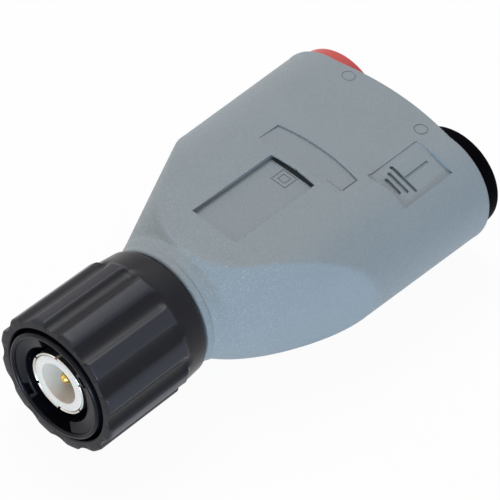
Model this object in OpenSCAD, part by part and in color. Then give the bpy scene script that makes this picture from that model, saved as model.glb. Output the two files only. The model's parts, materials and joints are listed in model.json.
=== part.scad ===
// Bayonet plug to twin 4 mm safety socket adapter, in millimetres.
// +Y runs from the plug to the sockets and +Z is up.
// The origin is the centre of the outer contact's front face.

/* [Plug contacts] */
// Outside diameter of the slotted outer contact
contact_d = 8.1; // [7.9:0.05:8.3]
// Wall of the outer contact
contact_wall = 0.3; // [0.2:0.05:0.4]
// Number of slots in the outer contact
contact_slots = 6; // [4:1:8]
// Width of each slot
slot_w = 0.4; // [0.2:0.05:0.6]
// Depth of the slots from the front face
slot_depth = 5.2; // [3:0.1:6]
// Angle of one slot from the side, seen from the front
slot_turn = 37; // [0:1:60]
// Free length of the outer contact ahead of the flange
contact_reach = 7; // [6.6:0.1:7.6]
// Depth to which the outer contact is pressed into the plug body
contact_seat = 2.5; // [1.5:0.1:3.5]
// How much narrower the pressed-in part of the outer contact is
contact_step = 0.2; // [0.18:0.01:0.3]
// Diameter of the centre pin in the cavity
pin_d = 1.35; // [1.3:0.01:1.5]
// Depth of the pin's tip behind the front face
pin_recess = 0.7; // [0.5:0.1:1.5]
// Diameter of the cavity in the white insulator
cavity_d = 5.3; // [5:0.1:6]
// Depth of the cavity in the white insulator
cavity_depth = 6.4; // [5:0.1:7]
// Length of the white insulator
dielectric_l = 13; // [11:0.1:14]
// How much thicker than its tip the pin is in the insulators, on the radius
shank_step = 0.2; // [0.18:0.01:0.3]
// Diameter of the pin's collar, held between the two insulators
pin_collar_d = 3.2; // [2.4:0.1:4]
// Thickness of the pin's collar
pin_collar_t = 1.1; // [0.8:0.1:1.6]

/* [Plug body] */
// Diameter of the flange that carries the gasket
flange_d = 12.4; // [11.6:0.1:12.5]
// Thickness of the flange
flange_t = 1.2; // [0.8:0.1:1.6]
// Diameter of the journal that the coupling turns on
journal_d = 10; // [9.6:0.1:10.4]
// Bore of the plug body behind the white insulator
rear_bore_d = 6; // [5:0.1:6.6]
// Thickness of the gasket
gasket_t = 0.6; // [0.4:0.1:1]
// Outside diameter of the gasket
gasket_d = 9.8; // [9:0.1:10.4]
// Height of the wave spring at rest
spring_h = 1; // [0.8:0.1:1.4]
// Thickness of the wave spring's strip
spring_t = 0.22; // [0.15:0.01:0.3]
// Number of waves in the spring
spring_waves = 3; // [2:1:5]
// Thickness of the thrust washer
washer_t = 0.5; // [0.3:0.1:0.8]
// Thickness of the retaining ring
clip_t = 0.7; // [0.5:0.1:1]
// Outside diameter of the retaining ring
clip_d = 12; // [11.4:0.1:12.4]
// Depth of the retaining ring's groove
clip_groove = 0.4; // [0.2:0.05:0.6]

/* [Coupling] */
// Length of the ribbed sleeve
sleeve_l = 16.5; // [16:0.1:18]
// How far the sleeve's front face stands ahead of the outer contact
sleeve_lead = 0.4; // [0:0.1:0.8]
// Diameter over the ribs
rib_d = 17.9; // [17.5:0.1:19]
// Number of ribs
rib_count = 12; // [8:1:16]
// Angle of one rib from the side, seen from the front
rib_turn = 22; // [0:1:30]
// Depth of the flutes between the ribs
flute_depth = 0.6; // [0.3:0.05:0.8]
// Radius of the cutter that makes a flute
flute_r = 2.4; // [1.6:0.1:3]
// Length of the ribbed part
rib_l = 12.4; // [10:0.1:13]
// Diameter of the plain band where it meets the ribs
band_d = 17.3; // [16.9:0.1:17.5]
// Diameter of the plain band at the rear edge
band_rear_d = 16.7; // [16.2:0.1:17]
// Rounding of the sleeve's rear edge
band_round = 0.45; // [0.2:0.05:0.6]
// Diameter of the recess in the sleeve's front face
mouth_d = 15; // [14.6:0.1:15.2]
// Depth of that recess
mouth_depth = 2.4; // [1.5:0.1:3]
// Length of the sleeve's inner shoulder
shoulder_l = 1.8; // [1.2:0.1:2.2]
// Bore of the sleeve's rear skirt
skirt_d = 13.8; // [13.6:0.1:14.2]
// Outside diameter of the bayonet ring
ring_d = 14.1; // [13.9:0.1:14.3]
// How far the bayonet ring stands ahead of the sleeve
ring_lead = 0.42; // [0.2:0.02:0.8]
// Wall of the bayonet ring
ring_wall = 0.7; // [0.6:0.05:0.75]
// Bore between the cams, which the mating shell enters
cam_bore_d = 9.9; // [9.8:0.1:10.2]
// Angle that each of the two cams covers
cam_angle = 119; // [80:1:130]
// Turn of the cams from the side, seen from the front
cam_turn = -2.5; // [-20:0.5:20]
// Depth of a cam at its entry side
cam_entry = 1.5; // [1:0.1:2]
// Rise of a cam from its entry to its detent
cam_rise = 1.3; // [0.6:0.1:1.6]
// Depth of the detent that holds the mating stud
cam_detent = 0.35; // [0.1:0.05:0.5]
// Angle that the moulded window in the front of a cam covers
window_angle = 15; // [8:1:20]
// Depth of that window
window_depth = 0.9; // [0.4:0.1:1]

/* [Housing] */
// Outside diameter of the housing's neck
neck_d = 16; // [15.4:0.1:16.6]
// Gap between the sleeve and the neck
neck_gap = 0.5; // [0.3:0.1:1.2]
// Length of the straight neck before the flare
neck_l = 1; // [0.8:0.1:3]
// Length of the flare, from the neck to the knee
flare_l = 19.4; // [17:0.1:21]
// Share by which the flare's width bulges over a straight taper
flare_bulge = -0.07; // [-0.2:0.01:0.4]
// How much later than its width the flare's height starts to grow
flare_lag = 1.9; // [1:0.1:3]
// Height that the flare would reach at the knee if the flat faces didn't trim it
flare_crown_h = 34.2; // [32:0.1:38]
// Share by which that height bulges over a straight taper
crown_bulge = 0.77; // [0.2:0.01:0.9]
// Thickness of the housing
body_h = 16.4; // [16.2:0.1:17.6]
// Width of the housing at the knee
knee_w = 33; // [32.6:0.1:34]
// Width of the housing at the rear
rear_w = 34.3; // [34.1:0.1:36]
// Length from the knee to the rear
barrel_l = 22; // [21.5:0.1:25]
// Radius of the rear face's bulge between the sockets, seen from above
rear_bow_r = 35; // [25:1:60]
// How far the rear face's flat sides lie ahead of that bulge
rear_drop = 1.2; // [0.6:0.1:1.3]
// Wall of the housing
wall = 1.6; // [1.2:0.1:1.7]
// Thickness of the neck's inner wall, which the plug body passes
bulkhead_t = 4.2; // [3:0.1:5]
// Thickness of the end plate at the sockets' seats
plate_t = 2; // [1.4:0.1:3]
// Share of the wall left outside the end plate
rabbet_wall = 0.8; // [0.6:0.05:1]

/* [Top marks] */
// Width of the pocket on the top face
pocket_w = 6.9; // [4:0.1:8]
// Length of the pocket
pocket_l = 13.9; // [8:0.1:16]
// Distance from the flare's start to the pocket
pocket_y = 7.6; // [6:0.1:12]
// Depth of the pocket
pocket_depth = 0.7; // [0.3:0.05:0.8]
// Width of the panel with the earth sign
panel_w = 6.8; // [5:0.1:7]
// Distance from the middle plane to that panel
panel_x = 6.7; // [5:0.1:8]
// Distance from the knee to that panel
panel_start = 7.7; // [6:0.1:9]
// Length of that panel
panel_l = 9; // [6:0.1:10]
// Depth of the shallow panels
panel_depth = 0.2; // [0.1:0.05:0.4]
// Radius of the arched panel's rear edge
arc_panel_r = 22; // [18:1:30]
// Distance from the knee to the arched panel's rear edge
arc_panel_start = 7.2; // [6:0.1:7.6]
// Length of the arched panel
arc_panel_l = 4.2; // [3:0.1:5]
// Width of the arched panel
arc_panel_w = 12.8; // [10:0.1:13]
// Diameter of the two ring marks near the rear
mark_d = 2; // [1.4:0.1:3]

/* [Sockets] */
// Distance between the two sockets
socket_pitch = 19; // [19:0.1:19.4]
// Diameter of the collars
collar_d = 14; // [13:0.1:14.2]
// How far the collars stand out of the rear face
collar_out = 2.7; // [1.5:0.1:3.5]
// Diameter of the sockets' barrels
barrel_d = 10; // [9.8:0.1:10.2]
// Length of the barrels in the housing
barrel_depth = 20; // [18:0.5:21]
// Outside diameter of the ring gap that takes a plug's shroud
shroud_d = 8.4; // [8.2:0.1:8.6]
// Outside diameter of the insulated post
post_d = 6.2; // [5.8:0.1:6.4]
// How far the post ends below the collar
post_recess = 0.6; // [0.2:0.1:1.5]
// Bore of the contact tubes
socket_bore_d = 4; // [3.9:0.05:4.1]
// Wall of the contact tubes
tube_wall = 0.55; // [0.4:0.05:0.7]
// Depth of the contact's mouth below the collar
tube_recess = 3; // [1.5:0.1:4]
// Depth of the contact's bore
tube_depth = 19.4; // [17:0.1:20]
// Thickness of the barrel's inner end wall
end_wall = 1; // [0.8:0.1:1.5]
// Thickness of the push-on rings behind the barrels
push_ring_t = 0.6; // [0.4:0.1:1]
// Diameter of the push-on rings
push_ring_d = 6; // [4:0.1:8]

/* [Wiring] */
// Diameter of the two wires
wire_d = 1.1; // [0.8:0.05:1.3]
// Wall of the solder cups
cup_wall = 0.5; // [0.3:0.05:0.6]
// Length of the solder cups
cup_l = 3; // [2.6:0.1:4]
// Depth of the cups' bores
cup_depth = 2; // [1.5:0.1:2.4]
// Wall of the shrink sleeves
shrink_wall = 0.35; // [0.2:0.05:0.5]
// How far a shrink sleeve covers the wire beyond its cup
shrink_lap = 1; // [0.5:0.1:1.4]
// Tightest bend of the wires
wire_bend_r = 1.65; // [1.2:0.05:2]
// Thickness of the earth lug
lug_t = 0.5; // [0.3:0.1:0.8]
// Length of the lug's strip
lug_l = 2.8; // [2.6:0.1:4]
// Width of the lug's strip
lug_w = 2.2; // [1.6:0.1:3]
// Size of the lock nut across its flats
nut_af = 11.4; // [11:0.1:11.6]
// Thickness of the lock nut
nut_t = 2; // [1.5:0.1:2.6]

/* [Fits] */
// Radial clearance of pieces that turn or slide
run_fit = 0.05; // [0.03:0.01:0.08]
// Radial clearance of pieces that are held still
seat_fit = 0.03; // [0.02:0.01:0.05]
// Gap between end faces that bear on each other
touch = 0.02; // [0.01:0.01:0.04]

/* [Hidden] */
$fn = 72;

// Places along the plug's axis, from the front face to the rear
spring_y = contact_reach + flange_t;
washer_y = spring_y + spring_h;
shoulder_y = washer_y + washer_t + touch;
clip_play = 0.2;
clip_y = shoulder_y + shoulder_l + clip_play;
nose_y = clip_y + clip_t + touch;
sleeve_rear_y = sleeve_l - sleeve_lead;
neck_y = sleeve_rear_y + neck_gap;
flare_y = neck_y + neck_l;
lug_y = neck_y + bulkhead_t;
nut_y = lug_y + lug_t + touch;
body_end_y = nut_y + nut_t + 0.5;
insulator_end_y = body_end_y + 1;
pin_cup_y = insulator_end_y + cup_l;
knee_y = flare_y + flare_l;
rear_y = knee_y + barrel_l;
seat_y = knee_y + barrel_depth - 0.6;
plate_y = seat_y - plate_t;
collar_x = socket_pitch / 2;
collar_end_y = rear_y - rear_drop + collar_out;
barrel_y = seat_y - barrel_depth;
tube_mouth_y = collar_end_y - tube_recess;
tube_end_y = barrel_y + end_wall + touch;
tail_cup_y = barrel_y - push_ring_t - touch - cup_l;

// Radii that follow from the sizes above
contact_r = contact_d / 2;
contact_seat_r = contact_r - contact_step;
dielectric_r = contact_r - contact_wall - seat_fit;
dielectric_rear_r = contact_seat_r - contact_wall - 0.05 - seat_fit;
journal_r = journal_d / 2;
shoulder_bore_r = journal_r + run_fit;
ring_bore_r = ring_d / 2 - ring_wall;
pin_shank_r = pin_d / 2 + shank_step;
cup_bore_r = wire_d / 2 + seat_fit;
cup_r = cup_bore_r + cup_wall;
tube_r = socket_bore_d / 2 + tube_wall;
half_h = body_h / 2;
end_r = half_h - rabbet_wall;
end_x = rear_w / 2 - half_h;
lug_x = nut_af / 2 + 0.7;

// Colours
grey = [0.46, 0.52, 0.57];
black = [0.09, 0.09, 0.1];
red = [0.75, 0.2, 0.18];
white = [0.93, 0.93, 0.9];
nickel = [0.75, 0.75, 0.73];
gold = [0.85, 0.65, 0.25];
spring_steel = [0.6, 0.6, 0.62];

// Turns a shape drawn round +Z so that it lies along +Y
module along_y() {
    rotate([-90, 0, 0]) children();
}

// Revolves a profile of [radius, place along Y] points
module turned(profile) {
    along_y() rotate_extrude() polygon(profile);
}

// A straight tube or rod from y0 to y1
module tube(y0, y1, r_out, r_in = 0) {
    along_y() difference() {
        translate([0, 0, y0]) cylinder(r = r_out, h = y1 - y0);
        if (r_in > 0) translate([0, 0, y0 - 1]) cylinder(r = r_in, h = y1 - y0 + 2);
    }
}

// A bar with two round ends, from y0 to y1, round the two socket axes' plane
module stadium_bar(y0, y1, r, x) {
    for (side = [-1, 1]) translate([side * x, 0, 0]) tube(y0, y1, r);
    translate([-x, y0, -r]) cube([2 * x, y1 - y0, 2 * r]);
}

// Joins rings of points, each as long as the first, into one closed solid
module loft(rings) {
    n = len(rings[0]);
    last = len(rings) - 1;
    points = [for (ring = rings) each ring];
    sides = [for (k = [0:last - 1], i = [0:n - 1])
        [k * n + i, k * n + (i + 1) % n, (k + 1) * n + (i + 1) % n, (k + 1) * n + i]];
    front = [[for (i = [n - 1:-1:0]) i]];
    back = [[for (i = [0:n - 1]) last * n + i]];
    polyhedron(points = points, faces = concat(front, sides, back), convexity = 8);
}

// The flare's half width and half height at y, before the flat faces trim it
function swell(u, bulge) = (1 + bulge) * u - bulge * u * u;
function flare_half_w(y) = let (u = max(0, (y - flare_y) / flare_l))
    neck_d / 2 + (knee_w - neck_d) / 2 * swell(u, flare_bulge);
function flare_half_h(y) =
    let (u = min(1, max(0, (y - flare_y - flare_lag) / (flare_l - flare_lag))))
    neck_d / 2 + (flare_crown_h - neck_d) / 2 * swell(u, crown_bulge);

// The barrel's half width at y
function barrel_half_w(y) =
    (knee_w + (rear_w - knee_w) * max(0, (y - knee_y) / barrel_l)) / 2;

// Distance from the axis to an ellipse and to a bar with round ends, at angle t
function ellipse_r(t, a, b) = a * b / sqrt(pow(b * cos(t), 2) + pow(a * sin(t), 2));
function bar_r(t, w, h) = let (c = w - h)
    h * cos(t) <= c * sin(t) ? h / sin(t) : c * cos(t) + sqrt(h * h - pow(c * sin(t), 2));
function gap_at(t, y, inset) =
    ellipse_r(t, flare_half_w(y) - inset, flare_half_h(y) - inset)
    - bar_r(t, barrel_half_w(y) - inset, half_h - inset);

// Angle of the crease between the flare and the flat face, found by halving
crease_low = 12;
crease_high = 86;
function crease(y, inset, low = crease_low, high = crease_high, steps = 16) =
    steps == 0 ? (low + high) / 2
    : gap_at((low + high) / 2, y, inset) > 0
        ? crease(y, inset, low, (low + high) / 2, steps - 1)
        : crease(y, inset, (low + high) / 2, high, steps - 1);

// One ring of the housing, drawn through its crease on all four quarters
ring_top_steps = 9;
ring_side_steps = 6;
function quarter(y, inset) = let (c = crease(y, inset))
    concat([for (i = [0:ring_side_steps - 1]) c * i / ring_side_steps],
           [for (i = [0:ring_top_steps - 1]) c + (90 - c) * i / ring_top_steps]);
function ring_angles(y, inset) = let (q = quarter(y, inset), n = len(q))
    concat(q, [90], [for (i = [n - 1:-1:1]) 180 - q[i]],
           [for (a = q) 180 + a], [270], [for (i = [n - 1:-1:1]) 360 - q[i]]);
function fold_angle(t) = let (m = t % 180) m > 90 ? 180 - m : m;
function body_ring(y, inset) = [for (t = ring_angles(y, inset))
    let (f = fold_angle(t),
         r = min(ellipse_r(f, flare_half_w(y) - inset, flare_half_h(y) - inset),
                 bar_r(f, barrel_half_w(y) - inset, half_h - inset)))
    [r * cos(t), y, r * sin(t)]];

// Places of the rings: close together on the flare and few on the straight barrel
flare_rings = 16;
function stations(y0, y1) = concat([y0],
    [for (i = [0:flare_rings]) let (y = flare_y + flare_l * i / flare_rings)
        if (y > y0 + 0.2 && y < y1 - 0.2) y],
    [y1]);

module body_form(y0, y1, inset) {
    loft([for (y = stations(y0, y1)) body_ring(y, inset)]);
}

// The face that ends the housing and its plate: flat at the sockets, with a bulge between them
module rear_bow() {
    linear_extrude(4 * half_h, center = true) {
        translate([-rear_w, 0]) square([2 * rear_w, rear_y - rear_drop]);
        translate([0, rear_y - rear_bow_r]) circle(r = rear_bow_r, $fn = 240);
    }
}

// Round seats for the two collars
module collar_seats() {
    for (side = [-1, 1]) translate([side * collar_x, 0, 0])
        tube(seat_y, rear_y + 2, collar_d / 2 + seat_fit);
}

// Room for the sockets' barrels, from y0 to y1
module barrel_bores(y0, y1) {
    for (side = [-1, 1]) translate([side * collar_x, 0, 0])
        tube(y0, y1, barrel_d / 2 + seat_fit);
}

// Shallow marks on the flat top
arc_panel_rear_y = knee_y + arc_panel_start;
panel_y = knee_y + panel_start;
module top_marks() {
    top = half_h + 1;
    translate([-pocket_w / 2, flare_y + pocket_y, half_h - pocket_depth])
        cube([pocket_w, pocket_l, pocket_depth + 1]);
    difference() {
        translate([panel_x, panel_y, 0]) cube([panel_w, panel_l, top]);
        stadium_bar(panel_y - 1, panel_y + panel_l + 1, half_h - panel_depth,
            barrel_half_w(panel_y + panel_l / 2) - half_h);
    }
    difference() {
        translate([0, arc_panel_rear_y - arc_panel_r, half_h - panel_depth])
            cylinder(r = arc_panel_r, h = panel_depth + 1);
        translate([-2 * arc_panel_r, 0, 0])
            cube([4 * arc_panel_r, arc_panel_rear_y - arc_panel_l, 2 * top]);
        for (side = [0, 1]) mirror([side, 0, 0]) translate([arc_panel_w / 2, 0, 0])
            cube([arc_panel_r, 2 * rear_y, 2 * top]);
    }
    for (side = [-1, 1])
        translate([side * mark_d * 3, rear_y - 2.8, half_h - panel_depth]) difference() {
            cylinder(d = mark_d, h = 1);
            translate([0, 0, -1]) cylinder(d = mark_d * 0.6, h = 3);
        }
}

module housing_shell() {
    color(grey) difference() {
        union() {
            intersection() {
                body_form(neck_y, rear_y + 1, 0);
                rear_bow();
            }
            tube(nose_y, neck_y + 1, skirt_d / 2 - 0.5);
        }
        body_form(lug_y, plate_y + 1, wall);
        stadium_bar(plate_y, rear_y + 2, end_r, end_x);
        tube(nose_y - 1, lug_y + 1, journal_r + seat_fit);
        barrel_bores(barrel_y - touch, plate_y + 1);
        collar_seats();
        top_marks();
    }
}

module end_plate() {
    color(grey) difference() {
        intersection() {
            stadium_bar(plate_y + touch, rear_y + 1, end_r - seat_fit, end_x);
            rear_bow();
        }
        collar_seats();
        barrel_bores(plate_y - 1, rear_y + 2);
    }
}

// Profile of the sleeve before its flutes are cut
front_round = 0.3;
sleeve_seat_y = contact_reach + flange_t + spring_h + 0.1;
function sleeve_profile() = [
    [mouth_d / 2, -sleeve_lead],
    [rib_d / 2 - front_round, -sleeve_lead],
    [rib_d / 2, -sleeve_lead + front_round],
    [rib_d / 2, rib_l],
    [band_d / 2, rib_l],
    [band_rear_d / 2, sleeve_rear_y - band_round],
    for (a = [15:15:90])
        [band_rear_d / 2 - band_round * (1 - cos(a)), sleeve_rear_y - band_round * (1 - sin(a))],
    [skirt_d / 2, sleeve_rear_y],
    [skirt_d / 2, shoulder_y + shoulder_l],
    [shoulder_bore_r, shoulder_y + shoulder_l],
    [shoulder_bore_r, shoulder_y],
    [ring_bore_r, shoulder_y],
    [ring_bore_r, sleeve_seat_y],
    [ring_d / 2 + seat_fit, sleeve_seat_y],
    [ring_d / 2 + seat_fit, mouth_depth],
    [mouth_d / 2, mouth_depth]
];

module coupling_sleeve() {
    flute_x = rib_d / 2 - flute_depth + flute_r;
    color(black) difference() {
        turned(sleeve_profile());
        for (i = [0:rib_count - 1])
            rotate([0, -rib_turn - (i + 0.5) * 360 / rib_count, 0])
                translate([flute_x, 0, 0]) {
                    tube(-sleeve_lead - 1, rib_l - flute_r / 3, flute_r);
                    translate([0, rib_l - flute_r / 3, 0]) sphere(r = flute_r);
                }
    }
}

// One cam: a flange whose rear face climbs to a detent, with a stop at its end.
// A stud enters at the end of the larger angle, because the coupling locks clockwise seen from behind.
cam_steps = 20;
cam_stop = 0.93;
cam_stop_depth = 4;
cam_front_y = -sleeve_lead - ring_lead + 0.35;
function cam_depth(u) =
    u < 0.62 ? cam_entry + cam_rise * u / 0.62
    : u < 0.74 ? cam_entry + cam_rise - cam_detent * (u - 0.62) / 0.12
    : u <= cam_stop ? cam_entry + cam_rise - cam_detent
    : cam_stop_depth;
function cam_ring(u) = let (
        t = (0.5 - u) * cam_angle,
        y = cam_front_y + cam_depth(u),
        r0 = cam_bore_d / 2,
        r1 = ring_bore_r + ring_wall / 2)
    [for (p = [[r0, cam_front_y + 0.2], [r1, cam_front_y], [r1, y], [r0, y]])
        [p[0] * cos(t), p[1], p[0] * sin(t)]];
module cam() {
    loft([for (i = [0:cam_steps]) cam_ring(cam_stop * i / cam_steps),
        cam_ring(cam_stop + 0.004), cam_ring(1)]);
}

ring_front_y = -sleeve_lead - ring_lead;
rim_r = 0.35;
window_inner_r = cam_bore_d / 2 + 0.3;
window_bar_angle = 5;
module cam_window() {
    rotate([0, -cam_angle / 2 + window_bar_angle, 0]) along_y()
        translate([0, 0, cam_front_y - 0.5]) rotate_extrude(angle = window_angle)
            translate([window_inner_r, 0])
                square([ring_bore_r - window_inner_r, window_depth + 0.5]);
}
module bayonet_ring() {
    color(black) difference() {
        union() {
            turned(concat(
                [for (a = [0:15:180])
                    [ring_d / 2 - rim_r + rim_r * cos(a), ring_front_y + rim_r - rim_r * sin(a)]],
                [[ring_bore_r, ring_front_y + rim_r + 0.3],
                 [ring_bore_r, sleeve_seat_y - touch],
                 [ring_d / 2, sleeve_seat_y - touch]]));
            for (half = [0, 180]) rotate([0, -cam_turn + half, 0]) cam();
        }
        for (half = [0, 180]) rotate([0, -cam_turn + half, 0]) cam_window();
    }
}

module plug_body() {
    groove_r = journal_r - clip_groove;
    color(nickel) difference() {
        turned([
            [contact_seat_r + touch, contact_reach], [flange_d / 2 - 0.2, contact_reach],
            [flange_d / 2, contact_reach + 0.2], [flange_d / 2, spring_y],
            [journal_r, spring_y], [journal_r, clip_y - touch],
            [groove_r, clip_y - touch], [groove_r, clip_y + clip_t + touch],
            [journal_r, clip_y + clip_t + touch], [journal_r, body_end_y - 0.3],
            [journal_r - 0.3, body_end_y], [rear_bore_d / 2, body_end_y],
            [rear_bore_d / 2, dielectric_l + touch], [dielectric_rear_r + seat_fit, dielectric_l + touch],
            [dielectric_rear_r + seat_fit, contact_reach + contact_seat + touch],
            [contact_seat_r + touch, contact_reach + contact_seat + touch]
        ]);
    }
}

// Thin tube with slots, pressed into the plug body by its narrower rear part.
// Its shoulder holds the gasket, which sits on the narrower part.
contact_shoulder_y = contact_reach - gasket_t - touch;
dielectric_step_y = contact_shoulder_y - contact_wall;
module outer_contact() {
    lip = 0.1;
    color(nickel) difference() {
        turned([
            [contact_r - contact_wall, lip], [contact_r - contact_wall + lip, 0], [contact_r, 0],
            [contact_r, contact_shoulder_y],
            [contact_seat_r, contact_shoulder_y],
            [contact_seat_r, contact_reach + contact_seat],
            [dielectric_rear_r + seat_fit, contact_reach + contact_seat],
            [dielectric_rear_r + seat_fit, dielectric_step_y],
            [contact_r - contact_wall, dielectric_step_y]
        ]);
        for (i = [0:contact_slots - 1]) rotate([0, -slot_turn - i * 360 / contact_slots, 0])
            translate([0, -1, -slot_w / 2]) cube([contact_d, slot_depth + 1, slot_w]);
    }
}

module dielectric() {
    color(white) turned([
        [cavity_d / 2, touch], [dielectric_r, touch],
        [dielectric_r, dielectric_step_y - touch], [dielectric_rear_r, dielectric_step_y - touch],
        [dielectric_rear_r, dielectric_l], [pin_shank_r + seat_fit, dielectric_l],
        [pin_shank_r + seat_fit, cavity_depth], [cavity_d / 2, cavity_depth]
    ]);
}

module centre_pin() {
    tip_r = pin_d / 2;
    collar_y = dielectric_l + touch;
    color(gold) difference() {
        turned(concat(
            [[0, pin_recess]],
            [for (a = [15:15:90]) [tip_r * sin(a), pin_recess + tip_r * (1 - cos(a))]],
            [[tip_r, cavity_depth], [pin_shank_r, cavity_depth + 0.1],
             [pin_shank_r, collar_y], [pin_collar_d / 2, collar_y],
             [pin_collar_d / 2, collar_y + pin_collar_t], [cup_r, collar_y + pin_collar_t],
             [cup_r, pin_cup_y], [0, pin_cup_y]]));
        tube(pin_cup_y - cup_depth, pin_cup_y + 1, cup_bore_r);
    }
}

module gasket() {
    bulge = gasket_t / 4;
    color([0.25, 0.25, 0.27]) turned([
        [contact_seat_r + touch, contact_reach - gasket_t], [gasket_d / 2 - bulge, contact_reach - gasket_t],
        [gasket_d / 2, contact_reach - gasket_t + bulge], [gasket_d / 2, contact_reach - bulge],
        [gasket_d / 2 - bulge, contact_reach - touch / 2], [contact_seat_r + touch, contact_reach - touch / 2]
    ]);
}

// A flat strip bent into waves round the journal
module wave_spring() {
    steps = 16 * spring_waves;
    r0 = journal_r + 0.15;
    r1 = flange_d / 2 - 0.1;
    mid = spring_y + spring_h / 2;
    sway = (spring_h - spring_t) / 2 - touch;
    rings = [for (i = [0:steps - 1]) let (t = 360 * i / steps, y = mid + sway * sin(spring_waves * t))
        [for (p = [[r0, -1], [r0, 1], [r1, 1], [r1, -1]])
            [p[0] * cos(t), y + p[1] * spring_t / 2, p[0] * sin(t)]]];
    points = [for (ring = rings) each ring];
    faces = [for (k = [0:steps - 1], i = [0:3]) let (a = k * 4, b = ((k + 1) % steps) * 4)
        [a + i, a + (i + 1) % 4, b + (i + 1) % 4, b + i]];
    color(spring_steel) polyhedron(points = points, faces = faces, convexity = 6);
}

module thrust_washer() {
    color(spring_steel)
        tube(washer_y, washer_y + washer_t, ring_bore_r - 0.15, shoulder_bore_r);
}

module retaining_ring() {
    gap_angle = 40;
    color(spring_steel) rotate([0, 90 - gap_angle / 2, 0]) along_y()
        translate([0, 0, clip_y]) rotate_extrude(angle = 360 - gap_angle)
            translate([journal_r - clip_groove + seat_fit, 0])
                square([clip_d / 2 - journal_r + clip_groove - seat_fit, clip_t]);
}

module rear_insulator() {
    front_y = dielectric_l + touch + pin_collar_t + touch;
    color(white)
        tube(front_y, insulator_end_y, rear_bore_d / 2 - seat_fit, cup_r + seat_fit);
}

// Ring terminal whose strip turns rearwards to a crimp barrel
module ground_lug() {
    barrel_x = lug_x + cup_r;
    color(nickel) {
        difference() {
            union() {
                tube(lug_y + touch, lug_y + lug_t, nut_af / 2 + 0.5);
                translate([nut_af / 2 - 1, lug_y + touch, -lug_w / 2])
                    cube([lug_x + lug_t - nut_af / 2 + 1, lug_t - touch, lug_w]);
            }
            tube(lug_y - 1, lug_y + 2, journal_r + seat_fit);
        }
        difference() {
            union() {
                translate([lug_x, lug_y + touch, -lug_w / 2]) cube([lug_t, lug_l, lug_w]);
                translate([barrel_x, 0, 0]) tube(lug_y + lug_l - 0.6, lug_y + lug_l + cup_l, cup_r);
            }
            translate([barrel_x, 0, 0])
                tube(lug_y + lug_l - 1, lug_y + lug_l + cup_l + 1, cup_bore_r);
        }
    }
}

module lock_nut() {
    color(nickel) along_y() translate([0, 0, nut_y]) difference() {
        rotate([0, 0, 30]) cylinder(d = nut_af / cos(30), h = nut_t, $fn = 6);
        translate([0, 0, -1]) cylinder(r = journal_r + seat_fit, h = nut_t + 2);
    }
}

// A shrouded socket: a collar, a barrel and an insulated post in its middle
module socket_body(tint) {
    rim = 0.5;
    collar_r = collar_d / 2;
    mouth = 0.4;
    shroud_end_y = barrel_y + 3;
    color(tint) turned(concat(
        [[cup_r + seat_fit, barrel_y], [barrel_d / 2, barrel_y],
         [barrel_d / 2, seat_y + touch], [collar_r, seat_y + touch]],
        [for (a = [0:15:90])
            [collar_r - rim * (1 - cos(a)), collar_end_y - rim * (1 - sin(a))]],
        [[shroud_d / 2 + mouth, collar_end_y], [shroud_d / 2, collar_end_y - mouth],
         [shroud_d / 2, shroud_end_y], [post_d / 2, shroud_end_y],
         [post_d / 2, collar_end_y - post_recess], [tube_r + seat_fit, collar_end_y - post_recess],
         [tube_r + seat_fit, barrel_y + end_wall], [cup_r + seat_fit, barrel_y + end_wall]]));
}

// A contact tube with a solder cup on its tail
module contact() {
    lead_in = 0.3;
    bore_end_y = tube_mouth_y - tube_depth;
    color(gold) turned([
        [0, tail_cup_y + cup_depth], [cup_bore_r, tail_cup_y + cup_depth],
        [cup_bore_r, tail_cup_y], [cup_r, tail_cup_y], [cup_r, tube_end_y],
        [tube_r, tube_end_y], [tube_r, tube_mouth_y],
        [socket_bore_d / 2 + lead_in, tube_mouth_y],
        [socket_bore_d / 2, tube_mouth_y - lead_in],
        [socket_bore_d / 2, bore_end_y], [0, bore_end_y]
    ]);
}

module push_ring() {
    color(spring_steel) tube(barrel_y - push_ring_t - touch, barrel_y - touch,
        push_ring_d / 2, cup_r + seat_fit);
}

module at_socket(side) {
    translate([side * collar_x, 0, 0]) children();
}

// A wire that leaves one cup straight, swings across and enters the other straight.
// Its bends start past the shrink sleeves, and the farther it swings, the longer they are.
wire_steps = 22;
wire_sides = 8;
function bezier(p, t) = pow(1 - t, 3) * p[0] + 3 * t * pow(1 - t, 2) * p[1]
    + 3 * t * t * (1 - t) * p[2] + pow(t, 3) * p[3];
function bezier_way(p, t) = let (v = pow(1 - t, 2) * (p[1] - p[0])
    + 2 * t * (1 - t) * (p[2] - p[1]) + t * t * (p[3] - p[2])) v / norm(v);
function wire_ring(centre, way) = [for (i = [0:wire_sides - 1]) let (t = 360 * i / wire_sides)
    centre + wire_d / 2 * (cos(t) * [way[1], -way[0], 0] + sin(t) * [0, 0, 1])];
module wire(x0, y0, x1, y1) {
    inside = cup_depth - 0.2;
    start = y0 + shrink_lap / 2;
    end = y1 - shrink_lap;
    reach = sqrt(abs(x1 - x0) * wire_bend_r * 2 / 3);
    p = [[x0, start, 0], [x0, start + reach, 0], [x1, end - reach, 0], [x1, end, 0]];
    loft(concat(
        [wire_ring([x0, y0 - inside, 0], [0, 1, 0])],
        [for (i = [0:wire_steps]) let (t = i / wire_steps) wire_ring(bezier(p, t), bezier_way(p, t))],
        [wire_ring([x1, y1 + inside, 0], [0, 1, 0])]));
}

module wire_red() {
    color(red) wire(0, pin_cup_y, -collar_x, tail_cup_y);
}
module wire_black() {
    color(black) wire(lug_x + cup_r, lug_y + lug_l + cup_l, collar_x, tail_cup_y);
}

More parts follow.
